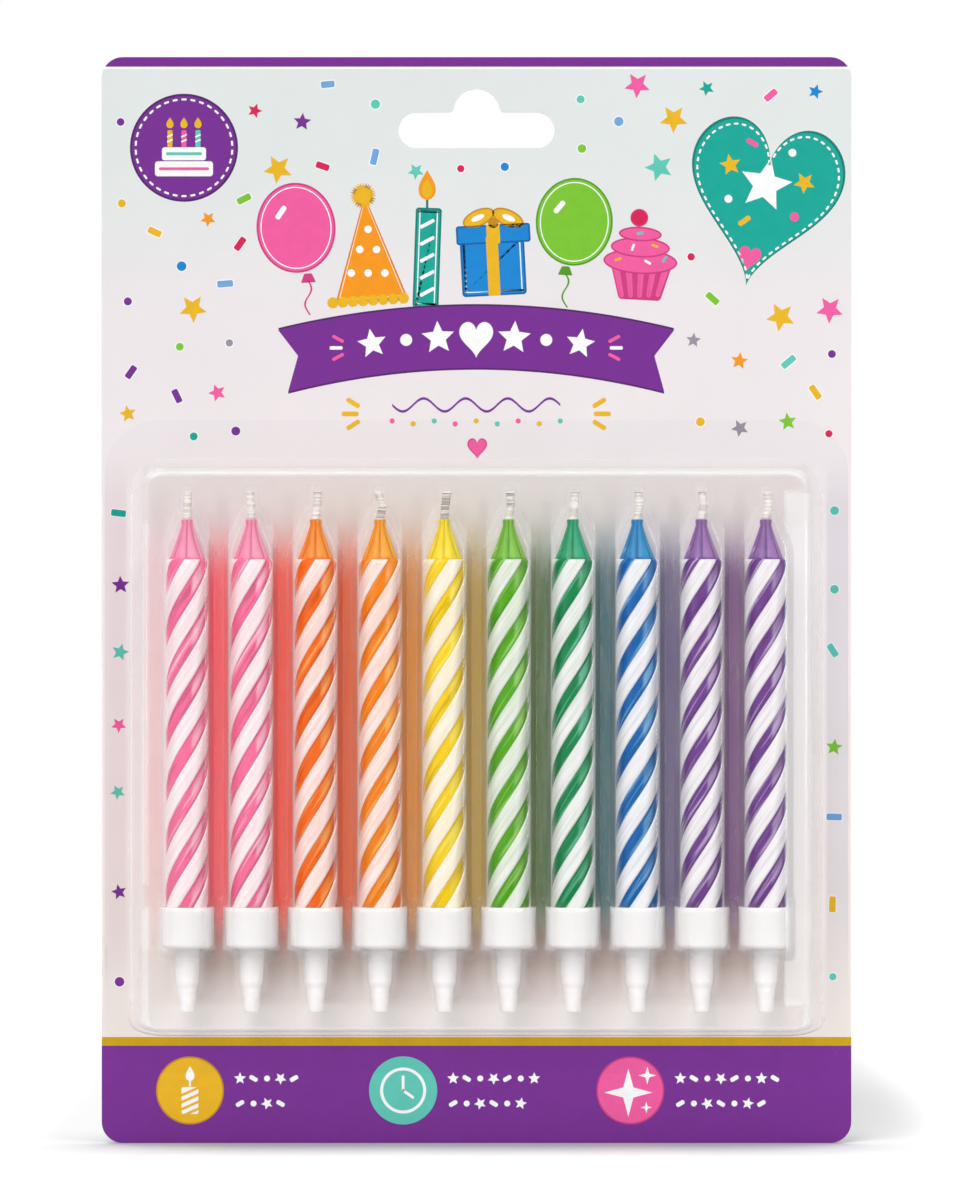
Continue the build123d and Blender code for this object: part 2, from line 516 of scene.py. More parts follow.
# A candle's own places with the winding taken out, so that streaks run along the strands
def unwoundPlace(made, k):
    place = objectPlace(made, location=-setPlace(k))
    unwound = addNode(made, "ShaderNodeVectorRotate", rotation_type="Z_AXIS")
    join(made, place, unwound.inputs["Vector"])
    turn = maths(made, "MULTIPLY", axes(made, place)[2], -2 * pi / (winding(k)[0] * mm))
    join(made, turn, unwound.inputs["Angle"])
    unwound = unwound.outputs["Vector"]
    return place, unwound, stretched(made, unwound, (1, 1, streakSet["drawn"]))


def streaksAlong(made, drawn):
    return noise(made, drawn, *[streakSet[key] for key in ("scale", "detail", "roughness", "distortion")])


# A wave around the axis that stands at one at the given angle
def waveAround(made, vector, count, angle):
    x, y, _ = axes(made, vector)
    around = maths(made, "ARCTAN2", y, x)
    return maths(made, "COSINE", maths(made, "MULTIPLY_ADD", around, count, -count * angle))


# One where the colour lies deepest between two strands, falling toward their edges
def valleyShare(made, unwound, k):
    count = strandForm["count"]
    return waveAround(made, unwound, count, winding(k)[1] + pi / count)


def coreMaterial(k):
    colour = waxColours[waxRow[k]]
    look = coreLook
    made, shader = newMaterial("wax_" + numbers[k], colour, 0.38, look["sockets"])
    place, unwound, drawn = unwoundPlace(made, k)
    pale = fade(lighter(colour), white, paleShares[waxRow[k]])
    stops = [(0.38, tint(colour, look["darkStreaks"])), (0.46, colour), (0.57, colour), (0.66, pale)]
    tone = ramp(made, streaksAlong(made, drawn), stops)
    across, _, height = axes(made, place)
    shoulder = candleForm["shoulder"]
    onBody = spread(made, height, *[(shoulder + end) * mm for end in look["bodyEnd"]])
    valley = valleyShare(made, unwound, k)
    # painted highlight: down the middle of each valley the wax is painted pale in broken patches, right of the axis,
    # standing in for the right lamp's highlight
    highlightBreaks = spread(made, noise(made, drawn, 700, 3), *look["highlightPatches"])
    turned = [spread(made, across, near * mm, far * mm) for near, far in look["paintedLightSide"]]
    centre = times(made, spread(made, valley, *look["highlightValley"]), highlightBreaks, onBody, *turned)
    tone = blend(made, centre, tone, pale)
    # painted highlight: the cone is painted lighter to the right, and painted shade darkens a line down each fold
    onCone = spread(made, height, shoulder * mm, (shoulder + look["coneFoot"]) * mm)
    right = spread(made, across, *[end * mm for end in look["coneHighlightSide"]], *look["coneHighlightShares"])
    tone = blend(made, times(made, onCone, right), tone, fade(lighter(colour), white, look["coneHighlightPale"]))
    # painted shade in the creases of the pleats
    foldShade = spread(made, waveAround(made, place, candleForm["pleats"], -pi / 2), *look["foldShadeEdge"])
    tone = blend(made, times(made, onCone, foldShade), tone, tint(colour, look["shade"]))
    # painted shade: each valley darkens along its edges, beside the raised strands
    rimmed = times(made, onBody, spread(made, valley, *look["strandShadeEdge"]))
    join(made, blend(made, rimmed, tone, tint(colour, look["shade"])), shader.inputs["Base Color"])
    grain(made, shader, drawn, "wax")
    return made


def strandMaterial(k):
    colour = waxColours[waxRow[k]]
    look = strandLook
    base = fade(look["white"], colour, whiteTints[k])
    made, shader = newMaterial("whiteWax_" + numbers[k], base, 0.42, look["sockets"])
    _, unwound, drawn = unwoundPlace(made, k)
    dark, pale = fade(base, colour, look["darkStreaks"]), fade(base, white, look["paleStreaks"])
    tone = ramp(made, streaksAlong(made, drawn), [(0.38, dark), (0.5, base), (0.62, pale)])
    edge = spread(made, valleyShare(made, unwound, k), *look["edge"])
    join(made, blend(made, edge, tone, fade(base, colour, look["edgeShare"])), shader.inputs["Base Color"])
    grain(made, shader, drawn, "whiteWax")
    return made


# The pinched cone: shallow pleats at the shoulder, which deepen towards the collar
def pleatCone(bm):
    form = candleForm
    low, high = form["shoulder"] + 0.05, form["tip"]
    for vert in bm.verts:
        height = vert.co.z / mm
        if height > low and hypot(vert.co.x, vert.co.y) > 0.3 * mm:
            turn = Vector((vert.co.x, vert.co.y)).angle_signed(Vector((0, -1)))
            fold = abs(sin(turn * form["pleats"] / 2)) ** form["pleatPower"]
            depth = form["pleatDepth"] * min(1, form["pleatStart"] + (height - low) / (high - low))
            share = 1 - depth * (1 - fold)
            vert.co.x *= share
            vert.co.y *= share


def makeCore(k, made):
    form = candleForm
    bm = bmesh.new()
    profile = [(0, form["butt"]), (2.8, form["butt"]), (form["coreRadius"], form["butt"] + 0.3)]
    for row in range(form["easeRows"] + 1):
        turn = pi / 2 * row / form["easeRows"]
        drop = form["easeHeight"] * (1 - sin(turn))
        profile.append((form["coreRadius"] - form["easeDepth"] * (1 - cos(turn)), form["shoulder"] - drop))
    coneFoot, coneTop = form["shoulder"] + 0.06, form["tip"] - form["collarHeight"]
    for row in range(form["coneRows"] + 1):
        share = row / form["coneRows"]
        radius = form["coneRadius"] + (form["tipRadius"] - form["coneRadius"]) * share - form["belly"] * sin(pi * share)
        profile.append((radius, coneFoot + (coneTop - coneFoot) * share))
    for inset, drop in ((0, 0.3), (0.04, 0.02), (0.15, 0)):
        profile.append((form["collarRadius"] - inset, form["tip"] - drop))
    profile.append((0, form["tip"] - 0.08))
    lathe(bm, profile, form["steps"])
    pleatCone(bm)
    finishInSet(k, bm, made, "candle_" + numbers[k], "wax_core", "candle_core")


# One white strand is a closed section wound up the core, then cut level at both ends
def makeStrands(k, made):
    form = strandForm
    lead, footAngle = winding(k)
    shoulder = candleForm["shoulder"]
    half = form["section"]
    section = half + [(r, form["height"] - z) for r, z in reversed(half[:-1])]
    below = form["start"] - form["height"] - form["spare"]
    turns = (shoulder + form["spare"] - below) / lead
    steps = int(turns * form["stepsPerTurn"]) + 1
    angle = steps * 2 * pi / form["stepsPerTurn"]
    rise = (0, 0, lead / form["stepsPerTurn"] * mm)
    bm = bmesh.new()
    verts, edges = chain(bm, [(r * mm, 0, (below + z) * mm) for r, z in section], closed=True)
    turnVerts(bm, verts, footAngle + 2 * pi * (below + form["height"] / 2) / lead)
    bmesh.ops.spin(bm, geom=verts + edges, cent=(0, 0, 0), axis=(0, 0, 1), dvec=rise, angle=angle, steps=steps)
    for height, direction in ((shoulder, 1), (form["start"], -1)):
        rim = cutAcross(bm, (0, 0, height * mm), (0, 0, direction), clear=True)
        bmesh.ops.holes_fill(bm, edges=rim, sides=0)
    # the top ends roll in over the core's shoulder
    easeHeight, easeDepth = candleForm["easeHeight"] * mm, candleForm["easeDepth"] * mm
    level = (shoulder - candleForm["easeHeight"]) * mm
    for row in range(candleForm["easeRows"]):
        cutAcross(bm, (0, 0, level + easeHeight * sin(pi / 2 * row / candleForm["easeRows"])), (0, 0, 1))
    for vert in bm.verts:
        if vert.co.z > level:
            climbed = min(1, (vert.co.z - level) / easeHeight)
            share = 1 - easeDepth * (1 - (1 - climbed ** 2) ** 0.5) / hypot(vert.co.x, vert.co.y)
            vert.co.x, vert.co.y = vert.co.x * share, vert.co.y * share
    single = bm.verts[:] + bm.edges[:] + bm.faces[:]
    for turn in range(1, form["count"]):
        copy = bmesh.ops.duplicate(bm, geom=single)["geom"]
        turnVerts(bm, ofKind(copy, bmesh.types.BMVert), turn * 2 * pi / form["count"])
    finishInSet(k, bm, made, "candle_" + numbers[k], "white_strands", "candle_stripes")


wickForm = {
    "plies": 3,
    "sides": 24,
    "radius": 0.6,
    "groove": 0.035,
    "turnsPerMm": 0.15,
    "top": 59.0,
    "foot": 54.45,
    "stepsPerMm": 8,
    "cutHeight": 0.12,
    "cutShare": 0.84,
    "leans": [
        (0.0, 0.02), (-0.02, -0.05), (0.05, 0.07), (0.09, -0.08), (0.03, 0.11),
        (0.08, 0.05), (0.05, 0.08), (0.08, 0.04), (0.07, 0.03), (0.09, 0.06),
    ],
    "bendAt": 1.9,
    "stub": 4.0,
}


def wickMaterial():
    made, shader = newMaterial("braidedCotton", inks(250, 243, 238), 0.85, {"Sheen Weight": 0.2})
    fibres = noise(made, objectPlace(made, (1, 1, 0.25)), 5200, 3)
    tone = ramp(made, fibres, [(0.3, inks(250, 242, 238)), (0.65, inks(254, 249, 246))])
    join(made, tone, shader.inputs["Base Color"])
    grain(made, shader, objectPlace(made), "cotton")
    return made


def wickX(height, lean):
    above = max(0, height - candleForm["tip"])
    low = min(above, wickForm["bendAt"]) / wickForm["bendAt"] * lean[0]
    upper = max(0, above - wickForm["bendAt"]) / (wickForm["stub"] - wickForm["bendAt"])
    return (low + (lean[1] - lean[0]) * upper) * wickForm["stub"]


# The plies lie close, so the wick is one lobed section, drawn up the stub and turned as it rises
def makeWick(k, made):
    form = wickForm
    lean = form["leans"][k]
    bm = bmesh.new()
    ring = bmesh.ops.create_circle(bm, cap_ends=True, segments=form["sides"], radius=form["radius"] * mm)["verts"]
    for n, vert in enumerate(ring):
        vert.co *= 1 - form["groove"] * (1 - abs(cos(pi * n * form["plies"] / form["sides"])))
    face = ring[0].link_faces[0]
    rows = round((form["top"] - form["cutHeight"] - form["foot"]) * form["stepsPerMm"]) + 1
    heights = [form["foot"] + row / form["stepsPerMm"] for row in range(rows)] + [form["top"]]
    twist = Matrix.Rotation(2 * pi * form["turnsPerMm"] / form["stepsPerMm"], 3, "Z")
    centre = Vector((0, 0, 0))
    for height in heights:
        wanted = Vector((wickX(height, lean), 0, height)) * mm
        if height > form["foot"]:
            face = growFace(bm, face)
            bmesh.ops.rotate(bm, verts=face.verts[:], cent=centre, matrix=twist)
        bmesh.ops.translate(bm, verts=face.verts[:], vec=wanted - centre)
        centre = wanted
    cut = form["cutShare"]
    bmesh.ops.scale(bm, verts=face.verts[:], vec=(cut, cut, 1), space=Matrix.Translation(-centre))
    finishInSet(k, bm, made, "candle_" + numbers[k], "cotton_wick", "wick")


cotton = wickMaterial()
for k in range(setRow["count"]):
    makeCore(k, coreMaterial(k))
    makeStrands(k, strandMaterial(k))
    makeWick(k, cotton)
print("candles made")


boardSet = {
    "front": inks(233, 231, 232),
    # the coat's own pale pink, with painted shading by height
    "coatAndShadeByHeight": [
        (0.04, inks(234, 225, 219)), (0.2, inks(238, 228, 224)), (0.55, inks(238, 229, 229)),
        (0.87, inks(233, 226, 228)), (0.98, inks(221, 227, 225)),
    ],
    "raw": inks(196, 190, 180),
    "rawStops": [(0.3, 0.86), (0.7, 1.08)],
    "coatDepth": 0.49,
}


# White coat on the front face, bare board on the back and in the cut edges
def dressCard():
    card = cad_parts["card"]
    made, shader = newMaterial("coatedCard", boardSet["front"], 0.38)
    place = objectPlace(made)
    fibres = noise(made, objectPlace(made, (1, 1, 3)), 900, 6)
    raw = ramp(made, fibres, [(stop, tint(boardSet["raw"], share)) for stop, share in boardSet["rawStops"]])
    _, depth, height = axes(made, place)
    low, high = [corner.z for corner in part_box("card")]
    # painted shading: warmer and darker low down, where shade falls under the cups, and a little darker and cooler at
    # the top
    coatAndShadeByHeight = ramp(made, spread(made, height, low, high), boardSet["coatAndShadeByHeight"])
    mottle = ramp(made, noise(made, place, 60, 3), [(0.35, (0.98, 0.98, 0.98, 1)), (0.65, white)])
    coat = blend(made, 1, coatAndShadeByHeight, mottle, "MULTIPLY")
    onFront = maths(made, "LESS_THAN", depth, -boardSet["coatDepth"] * mm)
    join(made, blend(made, onFront, raw, coat), shader.inputs["Base Color"])
    grain(made, shader, place, "card")
    card.data.materials.clear()
    card.data.materials.append(made)


dressCard()
print("card dressed")


# The print is laid out on the card's face in sevenths of a millimetre, from the picture's top left
printSet = {
    "perMm": 7,
    "originX": 476.3,
    "originY": 112.7,
    "layer": 0.006,
    "film": 0.8,
    "edgeLeft": 101.8,
    "edgeRight": 850.8,
    "edgeTop": 57.4,
    "edgeBottom": 1142.4,
    "cornerRadius": 21,
}
inkColours = {
    "violet": inks(117, 45, 143),
    "violetDark": inks(80, 34, 100),
    "ochre": inks(199, 158, 12),
    "gold": inks(234, 180, 32),
    "goldDark": inks(196, 136, 20),
    "teal": inks(14, 164, 148),
    "tealDark": inks(10, 122, 112),
    "aqua": inks(94, 198, 180),
    "pink": inks(240, 92, 158),
    "pinkDark": inks(204, 62, 126),
    "crimson": inks(214, 32, 86),
    "orange": inks(246, 150, 26),
    "orangeDark": inks(212, 112, 14),
    "blue": inks(20, 132, 208),
    "blueDark": inks(10, 96, 164),
    "sky": inks(112, 164, 216),
    "green": inks(122, 194, 50),
    "greenDark": inks(84, 152, 34),
    "grey": inks(150, 142, 156),
    "white": inks(250, 250, 250),
}
inkOrder = {name: k for k, name in enumerate(inkColours)}
printMesh = bmesh.new()


def paint(faces, ink):
    for face in faces:
        face.material_index = inkOrder[ink]


def cardPoint(x, y, layer):
    return Vector((x - printSet["originX"], printSet["originY"] - y, layer * printSet["layer"] * printSet["perMm"]))


def circleVerts(segments, radius=1):
    return bmesh.ops.create_circle(printMesh, cap_ends=True, segments=segments, radius=radius)["verts"]


def boxVerts(width, height, parts=1):
    verts = bmesh.ops.create_grid(printMesh, x_segments=parts, y_segments=1, size=0.5)["verts"]
    bmesh.ops.scale(printMesh, verts=verts, vec=(width, height, 1))
    return verts


def roundOff(verts, radius, segments):
    eased = {"offset": radius, "segments": segments, "profile": 0.5, "affect": "VERTICES", "material": -1}
    return bmesh.ops.bevel(printMesh, geom=verts, **eased)["verts"]


# Shapes are drawn about the origin, y up, then turned and laid at a place and layer
def lay(verts, x, y, layer, turn=0):
    turnVerts(printMesh, verts, radians(turn))
    bmesh.ops.translate(printMesh, verts=verts, vec=cardPoint(x, y, layer))


def rims(face, steps):
    for width, ink in steps:
        rim = bmesh.ops.inset_individual(printMesh, faces=[face], thickness=width)["faces"]
        paint(rim, ink)


def vertsOf(face):
    found, waiting = {face}, [face]
    while waiting:
        for edge in waiting.pop().edges:
            fresh = set(edge.link_faces) - found
            found |= fresh
            waiting += fresh
    return list({vert for item in found for vert in item.verts})


def drawFace(verts, ink, x, y, layer, turn=0, steps=()):
    face = verts[0].link_faces[0]
    paint([face], ink)
    rims(face, steps)
    lay(vertsOf(face), x, y, layer, turn)


def disc(ink, x, y, radius, layer=1, steps=(), squash=1, segments=56, turn=0):
    verts = circleVerts(segments, radius)
    bmesh.ops.scale(printMesh, verts=verts, vec=(1, squash, 1))
    drawFace(verts, ink, x, y, layer, turn, steps)


def star(ink, x, y, radius, layer=1, turn=0, points=5, waist=0.46):
    verts = circleVerts(2 * points, radius)
    for vert in list(verts)[1::2]:
        vert.co *= waist
    drawFace(verts, ink, x, y, layer, turn)


def pill(ink, x, y, length, width, layer=1, turn=0, ease=0.42, steps=()):
    verts = boxVerts(length, width)
    if ease:
        verts = roundOff(verts, ease * min(length, width), 5)
    drawFace(verts, ink, x, y, layer, turn, steps)


def heartPoint(share, size):
    turn = 2 * pi * share
    x = 16 * sin(turn) ** 3
    y = 13 * cos(turn) - 5 * cos(2 * turn) - 2 * cos(3 * turn) - cos(4 * turn)
    return Vector((x, y * 1.18, 0)) * size / 17


def heart(ink, x, y, size, layer=1, turn=0, segments=64):
    verts = circleVerts(segments)
    for k, vert in enumerate(verts):
        vert.co = heartPoint(-k / segments, size)
    drawFace(verts, ink, x, y, layer, turn)


# A round that draws to a point at its top, as a flame does
def drop(ink, x, y, width, height, layer=1, sharp=1.6):
    verts = circleVerts(40)
    for vert in verts:
        rise = (vert.co.y + 1) / 2
        vert.co.x *= width / 2 * (1 - rise ** sharp) ** 0.75 * 1.35 if rise < 1 else 0
        vert.co.y *= height / 2
    drawFace(verts, ink, x, y, layer)


def wedge(ink, x, y, bottom, top, height, layer=1, turn=0, ease=2.5):
    verts = boxVerts(1, height)
    for vert in verts:
        vert.co.x *= top if vert.co.y > 0 else bottom
    drawFace(roundOff(verts, ease, 4), ink, x, y, layer, turn)


def triangle(ink, x, y, base, height, layer=1, turn=0, steps=()):
    verts = circleVerts(3)
    for vert, (across, up) in zip(verts, ((0, 1), (-1, -1), (1, -1))):
        vert.co = Vector((across * base / 2, up * height / 2, 0))
    drawFace(verts, ink, x, y, layer, turn, steps)


# A band between two curves, each a function of a share from 0 to 1
def ribbon(ink, lower, upper, layer, parts=36):
    verts = boxVerts(1, 1, parts)
    paint({face for vert in verts for face in vert.link_faces}, ink)
    for vert in verts:
        curve = upper if vert.co.y > 0 else lower
        vert.co = cardPoint(*curve(vert.co.x + 0.5), layer)


def dashes(ink, points, width, layer, gapShare=0.42):
    for before, after in zip(points, points[1:]):
        along = after - before
        middle = (before + after) / 2
        turn = -degrees(along.angle_signed(Vector((1, 0))))
        pill(ink, middle.x, middle.y, along.length * (1 - gapShare), width, layer, turn, 0.45)


def ringPoints(x, y, radius, count):
    turns = [2 * pi * k / count for k in range(count + 1)]
    return [Vector((x + radius * cos(turn), y + radius * sin(turn))) for turn in turns]


bandSet = {"stripFoot": 67, "stripRim": 2.6, "goldTop": 1036.6, "bandTop": 1045.2}


def cardBand(ink, top, bottom, layer, roundFoot=False):
    left, right = printSet["edgeLeft"], printSet["edgeRight"]
    height = bottom - top
    verts = boxVerts(right - left, height)
    if roundFoot:
        low = [vert for vert in verts if vert.co.y < 0]
        verts = roundOff(low, min(printSet["cornerRadius"], height * 0.98), 10)
    drawFace(verts, ink, (left + right) / 2, (top + bottom) / 2, layer)


def drawBands():
    cardBand("violet", bandSet["bandTop"], printSet["edgeBottom"], 1, roundFoot=True)
    cardBand("ochre", bandSet["goldTop"], bandSet["bandTop"], 1)
    # the strip at the top follows the card's round corners, cut level at its lower edge
    left, right = printSet["edgeLeft"], printSet["edgeRight"]
    top, radius = printSet["edgeTop"], printSet["cornerRadius"]
    foot = bandSet["stripFoot"]
    inset = radius - (radius ** 2 - (radius - (foot - top)) ** 2) ** 0.5

    def level(height):
        return lambda share: (left + (right - left) * share, height)

    def edge(share):
        x = left + inset + (right - left - 2 * inset) * share
        fromSide = min(x - left, right - x, radius)
        return (x, top + radius - (radius ** 2 - (radius - fromSide) ** 2) ** 0.5)

    ribbon("white", level(foot + bandSet["stripRim"]), level(foot), 1, 1)
    ribbon("violet", lambda share: (edge(share)[0], foot), edge, 2, 240)


badgeSet = {"x": 184, "y": 148, "radius": 54, "stitchRadius": 48.5, "stitches": 34}
heartSet = {"x": 764, "y": 191, "size": 82, "turn": -11, "stitches": 62, "stitchShare": 0.925, "rimShare": 0.972}
heartStars = [("white", 1, -6, 27, -12), ("gold", -34, -26, 11, 10), ("gold", 40, -8, 11, 30)]


def drawBadge():
    x, y, radius = badgeSet["x"], badgeSet["y"], badgeSet["radius"]
    disc("violet", x, y, radius, 1, [(2.2, "violetDark")], segments=96)
    dashes("white", ringPoints(x, y, badgeSet["stitchRadius"], badgeSet["stitches"]), 2, 2)
    # a small cake of two tiers, with three candles
    for lower, length, height, ink in ((21, 58, 15, "pink"), (6, 44, 13, "aqua")):
        pill("white", x, y + lower, length, height, 2, ease=0.2)
        pill(ink, x, y + lower, length - 8, 3, 3)
    for offset, ink in ((-14, "gold"), (0, "pink"), (14, "aqua")):
        pill(ink, x + offset, y - 9, 5, 17, 3, ease=0.2)
        for up in (7, 12):
            pill("white", x + offset, y - up, 6, 1.6, 4, 25, 0.2)
        drop("gold", x + offset, y - 25, 6.5, 11, 3)


def heartOutline(count, share):
    turn = Matrix.Rotation(radians(heartSet["turn"]), 3, "Z")
    found = []
    for k in range(count + 1):
        point = turn @ (heartPoint(-k / count, heartSet["size"] * share) + Vector((0, -1.5, 0)))
        found.append(Vector((heartSet["x"] + point.x, heartSet["y"] - point.y)))
    return found


def evenly(points, count):
    lengths = [(b - a).length for a, b in zip(points, points[1:])]
    step = sum(lengths) / count
    found, run = [points[0]], 0
    for before, after, length in zip(points, points[1:], lengths):
        run += length
        while run >= step and len(found) < count:
            run -= step
            found.append(after + (before - after) * (run / length))
    return found + [points[-1]]


def drawHeartBadge():
    x, y, size, turn = [heartSet[key] for key in ("x", "y", "size", "turn")]
    heart("tealDark", x, y, size, 1, turn, 120)
    heart("teal", x, y + 0.4, size * heartSet["rimShare"], 2, turn, 120)
    dashes("white", evenly(heartOutline(240, heartSet["stitchShare"]), heartSet["stitches"]), 2, 3)
    for ink, across, down, radius, lean in heartStars:
        star(ink, x + across, y + down, radius, 3, lean)
    for ink, across, down, radius in (("white", 28, -38, 4), ("white", -36, 8, 4), ("pink", 30, 26, 4.5)):
        disc(ink, x + across, y + down, radius, 3, segments=24)
    pill("gold", x - 20, y + 30, 14, 5, 3, 35)
    pill("pink", x - 12, y - 48, 13, 5, 3, -30)
    heart("pink", x - 15, y + 66, 12, 3, turn)


# Each motif has a dark rim, a band of its own ink and a fine white line inside
def rimmed(ink, dark, band=2.2):
    return [(1.8, dark), (band, ink), (1.1, "white")]


def balloon(ink, dark, x, y, size, turn, tail):
    wedge(dark, x + size * 0.04 * turn, y + size * 0.66, size * 0.2, size * 0.1, size * 0.12, 1, turn, 1)
    disc(ink, x, y, size * 0.52, 2, rimmed(ink, dark), 1.14, 64, turn)
    pill("white", x - size * 0.2, y - size * 0.2, size * 0.2, size * 0.07, 3, turn + 52)

    def string(side):
        across = x + size * 0.04 * turn + side
        return lambda share: (across + 3.2 * sin(share * 2.2 * pi), y + size * 0.7 + tail * share)

    ribbon(dark, string(-0.9), string(0.9), 1, 20)


def partyHat(x, y, size):
    triangle("orange", x, y, size * 0.86, size * 1.25, 2, 4, rimmed("orange", "orangeDark"))
    for row, count in ((0.3, 3), (0.02, 2), (-0.22, 1)):
        for k in range(count):
            across = (k - (count - 1) / 2) * size * 0.2
            disc("white", x + across, y + size * row, size * 0.045, 4, segments=20)
    topX, topY = x - 5, y - size * 0.62
    for k in range(7):
        star("goldDark" if k % 2 else "gold", topX, topY, size * 0.16, 3 + k % 2, k * 51, 4, 0.3)
    disc("gold", topX, topY, size * 0.1, 5, segments=24)
    for k in range(8):
        disc("gold", x + size * (0.12 * k - 0.42), y + size * (0.655 - 0.008 * k), size * 0.065, 3, segments=20)


def printCandle(x, y, height, width):
    pill("teal", x, y, width, height, 2, -2, 0.12, rimmed("teal", "tealDark", 2.0))
    for k in range(5):
        pill("white", x, y + height * (0.17 * k - 0.34), width * 0.62, height * 0.035, 4, 28, 0.4)
    top = y - height * 0.5
    pill("tealDark", x, top - 5, 2.4, 12, 1)
    drop("orange", x, top - 23, width * 0.6, height * 0.3, 2)
    drop("gold", x, top - 20, width * 0.38, height * 0.19, 3)


def gift(x, y, size):
    box, lid, bow = y + size * 0.12, y - size * 0.34, y - size * 0.57
    pill("blue", x, box, size * 0.92, size * 0.84, 2, 3, 0.06, rimmed("blue", "blueDark"))
    pill("blue", x, lid, size * 1.06, size * 0.27, 3, 3, 0.14, [(1.8, "blueDark")])
    pill("gold", x, box, size * 0.17, size * 0.84, 4, 3, 0)
    pill("gold", x, lid, size * 0.19, size * 0.27, 5, 3, 0)
    for side in (-1, 1):
        disc("gold", x + side * size * 0.21, bow, size * 0.24, 3, [(1.6, "goldDark")], 0.5, 40, side * -24)
        disc("white", x + side * size * 0.22, bow, size * 0.1, 4, (), 0.4, 28, side * -24)
    disc("goldDark", x, y - size * 0.5, size * 0.075, 5, segments=24)


sprinkles = [
    (-0.3, 0.1, "gold", 20), (0.1, 0.14, "white", -30), (0.33, 0.1, "aqua", 50),
    (-0.1, -0.06, "white", 70), (0.2, -0.08, "gold", -20), (0.0, -0.25, "aqua", 10),
]


def cupcake(x, y, size):
    foot = y + size * 0.4
    wedge("pinkDark", x, foot, size * 0.56, size * 0.84, size * 0.5, 2, -3, 3)
    for k in range(-2, 3):
        wedge("pink", x + k * size * 0.145, foot, size * 0.06, size * 0.09, size * 0.44, 3, -3 - k * 7)
    for layer, row, width in ((4, 0.13, 1.0), (5, -0.06, 0.8), (6, -0.24, 0.58)):
        disc("pink", x, y + size * row, size * width / 2, layer, [(1.6, "pinkDark")], 0.34, 48, -3)
    disc("crimson", x - 1, y - size * 0.46, size * 0.12, 6, [(1.2, "pinkDark")], segments=28)
    for across, down, ink, turn in sprinkles:
        pill(ink, x + across * size, y + down * size, size * 0.1, size * 0.035, 7, turn)


def drawMotifs():
    balloon("pink", "pinkDark", 296, 228, 76, 4, 34)
    partyHat(368, 248, 84)
    printCandle(427, 258, 100, 26)
    gift(493, 258, 70)
    balloon("green", "greenDark", 574, 222, 74, -3, 34)
    cupcake(640, 252, 74)


bannerSet = {
    "x": 476,
    "edges": {"top": (198, 306), "middle": (178, 332), "bottom": (188, 368)},
    "bow": 24,
    "rim": 1.8,
    "shapes": [
        (-104, "star", 15), (-70, "dot", 6), (-38, "star", 17), (0, "heart", 18),
        (38, "star", 17), (70, "dot", 6), (104, "star", 15),
    ],
    "shapesY": 337,
    "rays": (140, 348),
}


def drawBanner():
    form = bannerSet

    def curve(name, shift=0):
        half, height = form["edges"][name]
        return lambda share: (form["x"] + half * (2 * share - 1), height + form["bow"] * (2 * share - 1) ** 2 + shift)

    top, middle, bottom = [curve(name) for name in form["edges"]]
    ribbon("violetDark", middle, curve("top", -form["rim"]), 3)
    ribbon("violetDark", curve("bottom", form["rim"]), middle, 3)
    ribbon("violet", middle, top, 4)
    ribbon("violet", bottom, middle, 4)
    for offset, kind, size in form["shapes"]:
        share = offset / form["edges"]["top"][0]
        x, y = form["x"] + offset, form["shapesY"] + form["bow"] * share ** 2
        if kind == "star":
            star("white", x, y, size, 5, -18 * share)
        elif kind == "dot":
            disc("white", x, y, size, 5, segments=28)
        else:
            heart("white", x, y, size, 5)
    across, y = form["rays"]
    for side in (-1, 1):
        for k in (-1, 0, 1):
            x = form["x"] + side * (across - 2 * abs(k))
            pill("pink" if k else "white", x, y + k * 9, 13, 3.4, 5, side * k * -28)


underSet = {"x": 476, "y": 405, "half": 84, "wave": 6.5, "waves": 4, "line": 1.3, "raysY": 414, "heartY": 447}


def drawUnderBanner():
    form = underSet
    x, y, half = form["x"], form["y"], form["half"]

    def wave(side):
        return lambda share: (x + half * (2 * share - 1), y + form["wave"] * sin(share * form["waves"] * 2 * pi) + side)

    ribbon("violet", wave(form["line"]), wave(-form["line"]), 1, 120)
    for k in range(9):
        disc(("pink", "gold", "aqua")[k % 3], x + half * (k / 4 - 1), y + 16 + 3 * (k % 2), 2.6, 1, segments=20)
    for side in (-1, 1):
        for k in (-1, 0, 1):
            across = x + side * (126 - 3 * abs(k))
            pill("gold", across, form["raysY"] + k * 11, 15 if k else 17, 4.6, 1, side * k * -32)
    heart("pinkDark", x + 1, form["heartY"], 10.5, 1)
    heart("pink", x + 1, form["heartY"], 9.3, 2)


# Each roundel's ink, rim and place, and how many small shapes stand in the rows beside it
roundelSet = {
    "y": 1090,
    "radius": 34,
    "places": [("gold", "goldDark", 190, 5), ("aqua", "aqua", 403, 7), ("pink", "pinkDark", 630, 8)],
    "rows": (50, 13.5, -12, 25),
}


